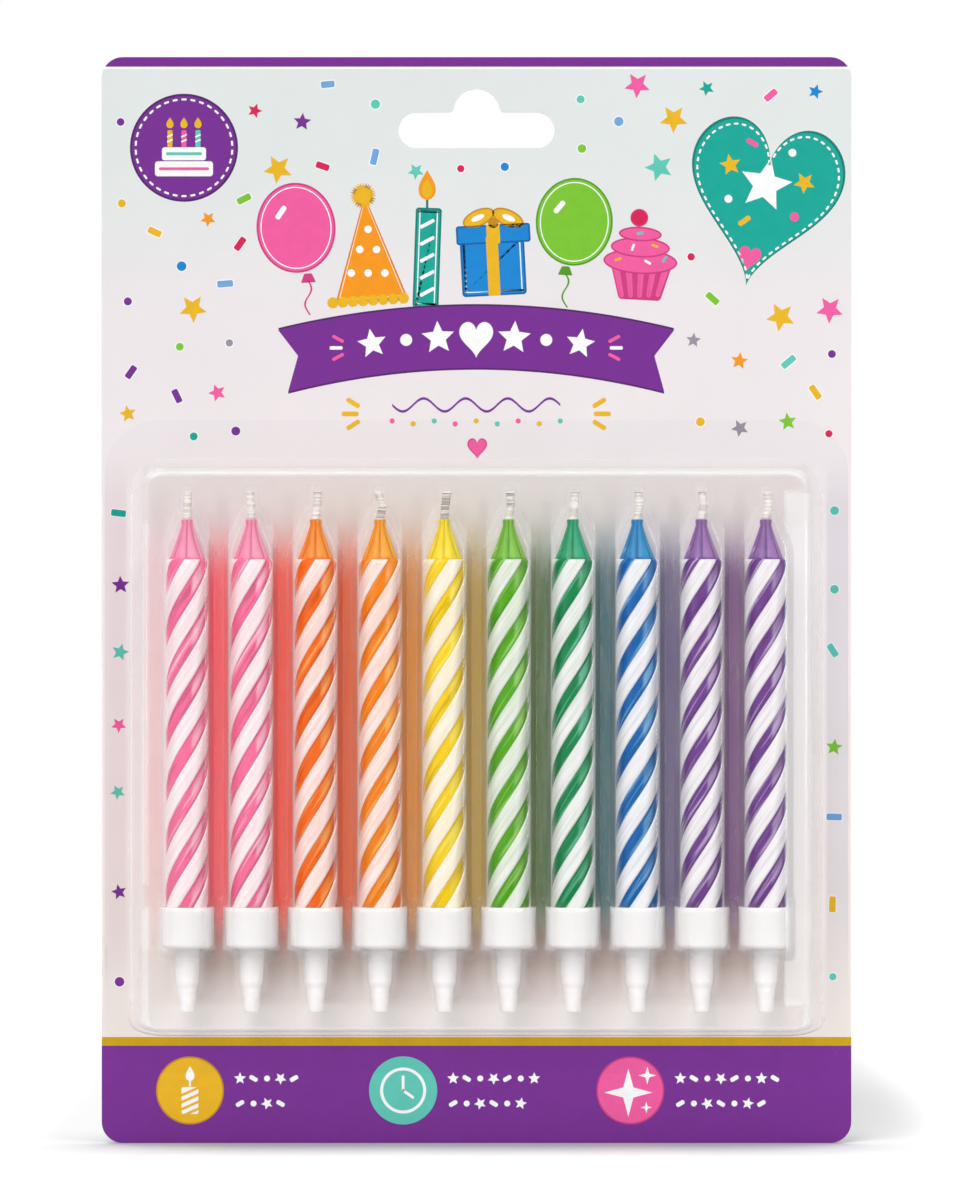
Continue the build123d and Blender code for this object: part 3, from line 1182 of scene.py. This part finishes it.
def drawRoundels():
    y = roundelSet["y"]
    for ink, rim, x, _ in roundelSet["places"]:
        disc(ink, x, y, roundelSet["radius"], 2, [(1.6, rim)], segments=72)
    candleX, clockX, sparkleX = [place[2] for place in roundelSet["places"]]
    drop("white", candleX, y - 17, 8, 15, 3)
    pill("white", candleX, y - 7, 1.8, 6, 3)
    pill("white", candleX, y + 10, 17, 27, 3, ease=0.12)
    for k in range(4):
        pill("gold", candleX, y + 1 + k * 7, 20, 2.6, 4, 24, 0)
    disc("white", clockX, y, 23, 3)
    disc("aqua", clockX, y, 20, 4)
    pill("white", clockX, y - 7, 2.8, 16, 5)
    pill("white", clockX + 5, y + 3.5, 14, 2.8, 5, -36)
    for across, down, radius in ((-2, 2, 24), (17, -15, 9), (16, 17, 6)):
        star("white", sparkleX + across, y + down, radius, 3, 0, 4, 0.3)
    start, step, rowY, rowStep = roundelSet["rows"]
    for _, _, x, width in roundelSet["places"]:
        for row in (0, 1):
            for k in range(width - row):
                place = (x + start + k * step, y + rowY + row * rowStep)
                kind = (k + row) % 3
                if kind == 0:
                    star("white", *place, 6.2, 3, 12 * k)
                elif kind == 1:
                    pill("white", *place, 9, 4.4, 3, 30 - 60 * (k % 2))
                else:
                    disc("white", *place, 3, 3, segments=20)


# Confetti is scattered clear of everything else, and down both sides of the blister
confettiSet = {
    "seed": 23,
    "inks": ["pink", "crimson", "gold", "aqua", "green", "sky", "violet", "grey", "orange", "teal", "blue"],
    "field": (114, 84, 842, 440),
    "spacing": 40,
    "tries": 2600,
    "clear": [(184, 148, 66), (764, 192, 96)],
    "boxes": [(252, 172, 690, 448), (390, 84, 570, 160)],
    "sideX": (119, 833),
    "sideRows": [466, 1012, 78],
}


def confettiPiece(x, y, pick):
    ink = pick.choice(confettiSet["inks"])
    kind = pick.random()
    turn = pick.uniform(0, 180)
    if kind < 0.36:
        disc(ink, x, y, pick.uniform(4.4, 5.8), 1, [(0.9, "white")], segments=22)
    elif kind < 0.7:
        pill(ink, x, y, pick.uniform(15, 18), 8.4, 1, turn, 0.3, [(0.9, "white")])
    elif kind < 0.92:
        star(ink, x, y, pick.uniform(7.5, 9.5), 1, turn)
    else:
        star(pick.choice(["gold", "aqua", "pink"]), x, y, pick.uniform(13, 15.5), 1, turn)


def scatterConfetti():
    form = confettiSet
    pick = random.Random(form["seed"])
    left, top, right, bottom = form["field"]
    placed = []
    for _ in range(form["tries"]):
        x, y = pick.uniform(left, right), pick.uniform(top, bottom)
        near = any(hypot(x - a, y - b) < form["spacing"] for a, b in placed)
        blocked = any(hypot(x - a, y - b) < reach for a, b, reach in form["clear"])
        boxed = any(a < x < c and b < y < d for a, b, c, d in form["boxes"])
        if not (near or blocked or boxed):
            placed.append((x, y))
    low, high, step = form["sideRows"]
    for sideX in form["sideX"]:
        placed += [(sideX + pick.uniform(-2, 2), y + pick.uniform(-18, 18)) for y in range(low + 30, high, step)]
    for x, y in placed:
        confettiPiece(x, y, pick)


def inkMaterial(name, colour):
    made, shader = newMaterial("ink_" + name, colour, 0.34, {"Specular IOR Level": 0.25})
    place = objectPlace(made)
    tone = ramp(made, noise(made, place, 700, 5), [(0.35, tint(colour, 0.95)), (0.62, colour)])
    join(made, tone, shader.inputs["Base Color"])
    grain(made, shader, place, "ink")
    return made


# Each ink becomes a film of its own: flat shapes with a little thickness, standing on the card's face
def finishPrint():
    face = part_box("card")[0].y
    scale = mm / printSet["perMm"]
    bmesh.ops.scale(printMesh, verts=printMesh.verts, vec=(scale, scale, scale))
    for name, colour in inkColours.items():
        bm = printMesh.copy()
        others = [item for item in bm.faces if item.material_index != inkOrder[name]]
        bmesh.ops.delete(bm, geom=others, context="FACES")
        if not bm.faces:
            bm.free()
            continue
        for item in bm.faces:
            item.material_index = 0
            if item.normal.z < 0:
                item.normal_flip()
        grown = bmesh.ops.extrude_face_region(bm, geom=bm.faces[:], use_keep_orig=True)["geom"]
        for vert in ofKind(grown, bmesh.types.BMVert):
            vert.co.z -= printSet["layer"] * printSet["film"] * mm
        turnVerts(bm, bm.verts, pi / 2, "X")
        bmesh.ops.translate(bm, verts=bm.verts, vec=(0, face, 0))
        bmesh.ops.recalc_face_normals(bm, faces=bm.faces)
        finishPiece("print_" + name, bm, inkMaterial(name, colour), "card", smooth=False, solid=False)
    printMesh.free()


for draw in (drawBands, drawBadge, drawHeartBadge, drawMotifs, drawBanner, drawUnderBanner, drawRoundels):
    draw()
scatterConfetti()
finishPrint()
print("print laid")


# The inside of the clear sheet is raised from a grid, eased, and given its wall
sheetSet = {
    "wall": 0.3,
    "sealY": -0.55,
    "flange": (106.1, -137.1, -44.0, 7.7),
    "tray": (98.0, -131.3, -49.5, 4.5, 5.5, 18),
    "pocketDraft": 20,
    "columns": [0, 0.45, 0.85, 1.15, 1.45, 1.75, 2.05, 2.35, 2.65, 2.9, 3.15, 3.4, 3.65, 3.9, 4.2],
    "sideColumns": (0.35, 15),
    "flangeColumns": (0.6, 1.6, 2.6),
    "rows": [
        (-137.1, -132.4, 4), (-132.4, -129.4, 16), (-129.4, -124, 9), (-124, -118, 17), (-118, -114.4, 7),
        (-114.4, -111.3, 10), (-111.3, -66.6, 14), (-66.6, -56, 29), (-56, -53.6, 5), (-53.6, -48.9, 16),
        (-48.9, -44, 4),
    ],
    "easing": (3, 0.4),
    "softEdge": (46.4, -129.9, -51.6),
    "softening": (3, 0.5),
    "cornerCuts": 12,
    "steepFoot": (1.3, 2.6),
}


def runPerDepth(draft):
    return tan(radians(draft))


# How far a place lies inside a rectangle with round corners
def insideRounded(x, z, halfWidth, low, high, radius):
    a = abs(x) - (halfWidth - radius)
    b = abs(z - (low + high) / 2) - ((high - low) / 2 - radius)
    return radius - hypot(max(a, 0), max(b, 0)) - min(max(a, b), 0)


# Pockets at one set: depth of each and its half width along the set, from the holder's rim
pocketForms = [
    (8.2, [(-7.28, 3.85), (1.38, 3.85)]),
    (7.55, [(-5.9, 3.6), (51.05, 3.6), (56.7, 1.35)]),
    (6.4, [(-12.6, 1.5), (-5.9, 2.2)]),
    (6.4, [(49.35, 1.1), (59.9, 1.1)]),
]


def insidePocket(x, height, outline):
    low, high = outline[0][0], outline[-1][0]
    if not low <= height <= high:
        return 0
    for (z1, w1), (z2, w2) in zip(outline, outline[1:]):
        if z1 <= height <= z2:
            width = w1 + (w2 - w1) * (height - z1) / (z2 - z1)
            return max(0, min(width - abs(x), height - low, high - height))
    return 0


def sheetDepth(x, z):
    width, low, high, radius, depth, draft = sheetSet["tray"]
    # the wall at the foot stands steeper than the others
    reach, stretch = sheetSet["steepFoot"]
    lifted = min(max(z - low, 0), reach) * (stretch - 1) if z < (low + high) / 2 else 0
    inside = insideRounded(x, z + lifted, width / 2, low, high, radius)
    raised = max(0, min(depth, inside / runPerDepth(draft)))
    axis = min((setX(k) for k in range(setRow["count"])), key=lambda place: abs(x - place))
    for pocketDepth, outline in pocketForms:
        inside = insidePocket(x - axis, z - setRow["rimZ"], outline)
        if inside > 0:
            climb = inside / runPerDepth(sheetSet["pocketDraft"])
            raised = max(raised, depth + min(pocketDepth - depth, climb))
    return raised


def sheetColumns():
    found = set()
    for k in range(setRow["count"]):
        for offset in sheetSet["columns"]:
            found.update((round(setX(k) + offset, 3), round(setX(k) - offset, 3)))
    half, trayHalf, edge = sheetSet["flange"][0] / 2, sheetSet["tray"][0] / 2, max(found)
    step, count = sheetSet["sideColumns"]
    outside = [edge + step * (n + 1) for n in range(count)] + [trayHalf + part for part in sheetSet["flangeColumns"]]
    for place in (*outside, half):
        if place <= half:
            found.update((round(place, 3), round(-place, 3)))
    return sorted(found)


def sheetRows():
    found = [sheetSet["rows"][0][0]]
    for low, high, parts in sheetSet["rows"]:
        found += [low + (high - low) * (n + 1) / parts for n in range(parts)]
    return found


# Painted light: coloured light from neighbouring candles is painted into the sheet between them, with painted shade
# below and beside the cups
glowSet = {
    "colours": [
        inks(236, 92, 100), inks(232, 84, 66), inks(214, 92, 42), inks(206, 132, 46), inks(176, 146, 70),
        inks(78, 108, 62), inks(60, 104, 110), inks(102, 92, 128), inks(118, 80, 126),
    ],
    "aboveRim": (-0.1, 0.3),
    "clouds": (0.3, 0.7, 0.8, 1),
    "side": (3.0, 3.3),
    "sideByCup": (3.8, 4.0),
    "low": (-9.5, 3.5),
    "high": (56.5, 46.0),
    "share": 0.84,
    "firstEnd": 0.2,
    "lastEnd": 0.0,
    # painted shade below and beside the cups
    "shade": inks(140, 106, 94),
    "shadeShare": 0.42,
    "shadeFall": (-13.5, -5.5),
    "underCup": [(1.9, 3.0), (-5.7, -6.3)],
    "besideCup": [(3.8, 4.3), (-1.5, -4.5)],
}
# places from the sheet's middle, the heights above the rim where they hold, and their strength
edgeSet = {
    "heights": (-14.5, -13.5, 58.5, 59.5),
    # painted highlight lines along the tray's foot at both sides
    "foot": (48.75, 49.0, 49.3, 49.55),
    "sideFootHighlightShare": 0.5,
    "flange": (49.6, 50.3),
    "flangeHeights": (-17.6, 3, 54, 66),
    "flangeTints": [(0.95, 0.91, 0.93, 1), (0.885, 0.895, 0.925, 1)],
    # painted light inside the right wall and along the bottom, and a painted highlight line along the bottom foot
    "paintedLightSide": (43.4, 44.0, 47.3, 48.2),
    "paintedLightFoot": (-17.5, -17.1, -14.8, -12.5),
    "bottomHighlightLine": (-18.0, -17.7, -17.5, -17.2),
    "paintedLightShare": 0.42,
    "paintedLightFootShare": 0.2,
    "bottomHighlightShare": 0.4,
    "headRoom": (50, 56, 62, 64),
    "headTint": (0.915, 0.913, 0.888, 1),
    "headSide": (48.5, 46.5),
    "tint": (0.99, 0.99, 0.992, 1),
    # painted shade in the crease at the tray's foot
    "footCreaseShade": (0.62, 0.58, 0.6, 1),
    "baseCrease": (0.492, 0.46),
    "baseRise": (0.57, 0.75, 2.4, 3.0),
    "baseFoot": (-15.6, -16.4),
    "formed": (0.9, 1.3),
    "flatMist": 0.12,
    "mist": (0.1, 0.6, 0, 0.12),
    # painted highlight lines along outward creases
    "creaseHighlight": (0.505, 0.54),
    "creaseTop": (6.3, 6.9, 0.6, 0.1),
    "footEnds": (47, 45),
    "mirror": [(0.3, 0.65, 1, 0.18), (0.02, 0.25, 0.35, 1)],
    "calm": [(53.5, 55.5, 60.2, 61.2), (-0.8, 0.6, 2.6, 3.8)],
    "calmShare": 0.3,
}


def mixShaders(made, factor, first, second):
    node = addNode(made, "ShaderNodeMixShader")
    join(made, factor, node.inputs["Fac"])
    join(made, first, node.inputs[1])
    join(made, second, node.inputs[2])
    return node.outputs["Shader"]


def shaderOf(made, kind, sockets=None):
    return addNode(made, "ShaderNodeBsdf" + kind, sockets)


# One between the two middle places, falling to nothing at the outer two
def within(made, value, places):
    return times(made, spread(made, value, *places[:2]), spread(made, value, places[3], places[2]))


def sheetPlaces(made, place):
    split = addNode(made, "ShaderNodeSeparateXYZ")
    join(made, place, split.inputs["Vector"])
    across = maths(made, "MULTIPLY", split.outputs["X"], 1 / mm)
    rise = maths(made, "MULTIPLY", split.outputs["Y"], -1 / mm)
    height = maths(made, "MULTIPLY_ADD", split.outputs["Z"], 1 / mm, -setRow["rimZ"])
    return across, rise, height


# How much painted glow and painted shade lie at a place, and the colour of the painted glow
def glowShares(made, place, across, height):
    form = glowSet
    half = setRow["pitch"] / 2
    last = (setRow["count"] - 1) * half
    fromAxis = maths(made, "PINGPONG", maths(made, "ADD", across, half), half)
    firstEnd = spread(made, across, -last - 0.2, -last, form["firstEnd"], 1)
    lastEnd = spread(made, across, last + 0.2, last, form["lastEnd"], 1)
    cloud = spread(made, noise(made, stretched(made, place, (1, 1, 0.12)), 800, 3), *form["clouds"])
    aboveRim = times(made, spread(made, fromAxis, *form["side"]), spread(made, height, *form["aboveRim"]))
    glow = maths(made, "MAXIMUM", aboveRim, spread(made, fromAxis, *form["sideByCup"]))
    heights = [spread(made, height, *form[end]) for end in ("low", "high")]
    glow = times(made, glow, form["share"], *heights, firstEnd, lastEnd, cloud)
    sides = []
    # painted shade under and beside the cups, fading downwards
    for zone in ("underCup", "besideCup"):
        side, fall = form[zone]
        sides.append(times(made, spread(made, fromAxis, *side), spread(made, height, *fall)))
    fall = spread(made, height, *form["shadeFall"], 0, form["shadeShare"])
    shade = times(made, maths(made, "MAXIMUM", *sides), fall, firstEnd, lastEnd)
    along = maths(made, "MULTIPLY_ADD", across, 0.5 / (last + half), 0.5)
    stops = [((k + 1) / setRow["count"], colour) for k, colour in enumerate(form["colours"])]
    return glow, ramp(made, along, stops), shade


# Haze by facing on the formed parts; painted highlight lines along outward creases, along the tray's foot at both sides
# and along its bottom; painted light inside the tray's right wall and along its bottom
def hazeAndPaintedLightShare(made, across, rise, height, facing, creases, outer, calm):
    form = edgeSet
    fromMiddle = maths(made, "ABSOLUTE", across)
    sides = within(made, height, form["heights"])
    formed = spread(made, rise, *form["formed"])
    mist = times(made, spread(made, facing, *form["mist"]), spread(made, rise, *form["formed"], form["flatMist"], 1))
    # painted highlight lines along convex creases
    creaseHighlight = times(made, spread(made, creases, *form["creaseHighlight"]), formed, outer, calm)
    creaseHighlight = times(made, creaseHighlight, spread(made, rise, *form["creaseTop"]))
    # painted highlight lines along the tray's foot at both sides
    foot = times(made, within(made, fromMiddle, form["foot"]), sides, outer, form["sideFootHighlightShare"])
    # painted light inside the right wall, then a painted light band and a painted highlight line along the bottom
    pale = times(made, within(made, across, form["paintedLightSide"]), sides, outer, form["paintedLightShare"])
    between = spread(made, fromMiddle, *form["footEnds"])
    for line, share in (("paintedLightFoot", "paintedLightFootShare"), ("bottomHighlightLine", "bottomHighlightShare")):
        low = times(made, within(made, height, form[line]), between, outer)
        pale = maths(made, "MULTIPLY_ADD", low, form[share], pale)
    return maths(made, "MAXIMUM", maths(made, "MAXIMUM", mist, creaseHighlight), maths(made, "MAXIMUM", foot, pale))


# What shows through: the sealed flange is a little darker, more so on the right, and a fine dark line of painted shade
# runs in the crease under the foot of the tray
def throughTintAndCreaseShade(made, across, rise, height, creases, outer):
    form = edgeSet
    fromMiddle = maths(made, "ABSOLUTE", across)
    flange = times(made, spread(made, fromMiddle, *form["flange"]), within(made, height, form["flangeHeights"]), outer)
    tone = blend(made, flange, form["tint"], blend(made, spread(made, across, -1, 1), *form["flangeTints"]))
    head = times(made, within(made, height, form["headRoom"]), spread(made, fromMiddle, *form["headSide"]), outer)
    tone = blend(made, head, tone, form["headTint"])
    # painted shade in the concave crease at the tray's foot
    base = times(made, spread(made, creases, *form["baseCrease"]), within(made, rise, form["baseRise"]), outer)
    base = times(made, base, spread(made, height, *form["baseFoot"]))
    return blend(made, base, tone, form["footCreaseShade"])


def clearMaterial():
    made, shader = newMaterial("clearSheet", (0.97, 0.98, 0.99, 1), 0.08)
    nodes = made.node_tree.nodes
    place = objectPlace(made)
    across, rise, height = sheetPlaces(made, place)
    glow, glowColour, shade = glowShares(made, place, across, height)
    fresnel = addNode(made, "ShaderNodeFresnel", {"IOR": 1.42}).outputs["Fac"]
    facing = addNode(made, "ShaderNodeLayerWeight", {"Blend": 0.5}).outputs["Facing"]
    skin = addNode(made, "ShaderNodeNewGeometry")
    creases = skin.outputs["Pointiness"]
    outer = spread(made, skin.outputs["Backfacing"], 0, 1, 1, 0)
    calm = maths(made, "MAXIMUM", *[within(made, height, places) for places in edgeSet["calm"]])
    calm = maths(made, "MULTIPLY_ADD", calm, edgeSet["calmShare"] - 1, 1)
    clear = shaderOf(made, "Transparent")
    join(made, throughTintAndCreaseShade(made, across, rise, height, creases, outer), clear.inputs["Color"])
    hazeAndLightLayer = shaderOf(made, "Diffuse", {"Color": (0.95, 0.95, 0.96, 1)})
    # painted coloured light from the candles, laid in the sheet between them
    paintedGlowLayer = shaderOf(made, "Diffuse")
    join(made, glowColour, paintedGlowLayer.inputs["Color"])
    shadow = shaderOf(made, "Diffuse", {"Color": glowSet["shade"]})
    lit = clear.outputs["BSDF"]
    hazeAndLight = hazeAndPaintedLightShare(made, across, rise, height, facing, creases, outer, calm)
    for share, layer in ((hazeAndLight, hazeAndLightLayer), (times(made, glow, outer), paintedGlowLayer), (times(made, shade, outer), shadow)):
        lit = mixShaders(made, share, lit, layer.outputs["BSDF"])
    gloss = shaderOf(made, "Glossy", {"Color": white, "Roughness": 0.13})
    grain(made, gloss, place, "sheet")
    raised = spread(made, rise, *edgeSet["formed"], edgeSet["flatMist"], 1)
    turned = [spread(made, facing, *values) for values in edgeSet["mirror"]]
    final = mixShaders(made, times(made, fresnel, outer, raised, calm, *turned), lit, gloss.outputs["BSDF"])
    # the sheet throws no shadow of its own
    path = addNode(made, "ShaderNodeLightPath")
    passing = shaderOf(made, "Transparent", {"Color": white})
    letThrough = mixShaders(made, path.outputs["Is Shadow Ray"], final, passing.outputs["BSDF"])
    nodes.remove(shader)
    join(made, letThrough, nodes["Material Output"].inputs["Surface"])
    return made


def makeBlister():
    columns, rows = sheetColumns(), sheetRows()
    across, up = len(columns) - 1, len(rows) - 1
    bm = bmesh.new()
    bmesh.ops.create_grid(bm, x_segments=across, y_segments=up, size=0.5)
    for vert in bm.verts:
        x = columns[round((vert.co.x + 0.5) * across)]
        z = rows[round((vert.co.y + 0.5) * up)]
        vert.co = Vector((x, sheetSet["sealY"] - sheetDepth(x, z), z)) * mm
    inner = [vert for vert in bm.verts if not vert.is_boundary]
    reach, floor, roof = [place * mm for place in sheetSet["softEdge"]]
    soft = [v for v in inner if abs(v.co.x) > reach or v.co.z < floor or v.co.z > roof]
    for verts, (count, factor) in ((inner, sheetSet["easing"]), (soft, sheetSet["softening"])):
        for _ in range(count):
            bmesh.ops.smooth_vert(bm, verts=verts, factor=factor, use_axis_y=True)
    width, low, high, radius = sheetSet["flange"]
    cuts = sheetSet["cornerCuts"]
    for sideX in (-1, 1):
        for sideZ in (-1, 1):
            corner = Vector((sideX * (width / 2 - radius), 0, (high if sideZ > 0 else low) - sideZ * radius))
            for part in range(1, cuts):
                turn = pi / 2 * part / cuts
                way = Vector((sideX * cos(turn), 0, sideZ * sin(turn)))
                cutAcross(bm, (corner + way * radius) * mm, way, clear=True)
    for face in bm.faces:
        if face.normal.y > 0:
            face.normal_flip()
    piece = finishPiece("clear_blister", bm, clearMaterial(), "blister", ["blister"], solid=False)
    wall = piece.modifiers.new("wall", "SOLIDIFY")
    wall.thickness = sheetSet["wall"] * mm
    wall.offset = 1


makeBlister()
print("blister formed")
